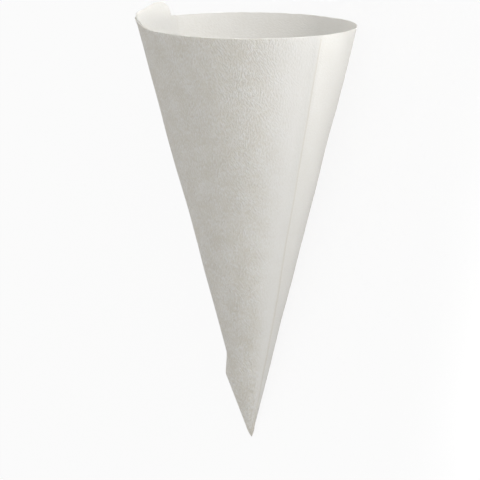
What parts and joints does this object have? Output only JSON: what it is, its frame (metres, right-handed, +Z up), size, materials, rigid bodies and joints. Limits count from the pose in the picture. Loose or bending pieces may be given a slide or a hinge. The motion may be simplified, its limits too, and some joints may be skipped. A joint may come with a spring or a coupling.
{
  "type": "paper coffee filter",
  "caption": "Half round of filter paper folded in four and opened to a pointed cone, three layers on one side and one on the other, with a pull tab at the rim.",
  "frame": {"origin": "middle of the bounding box on the surface that the cone lies on", "axes": "+Y from the cone's point towards its open rim, +Z up from the flat strip that it rests on, +X towards the outer fold"},
  "size_m": [0.078, 0.1524, 0.0738],
  "materials": {
    "filter_paper": "matt white creped filter paper"
  },
  "bodies": {
    "root": {"filter_sheet": "filter_paper"}
  },
  "joints": []
}
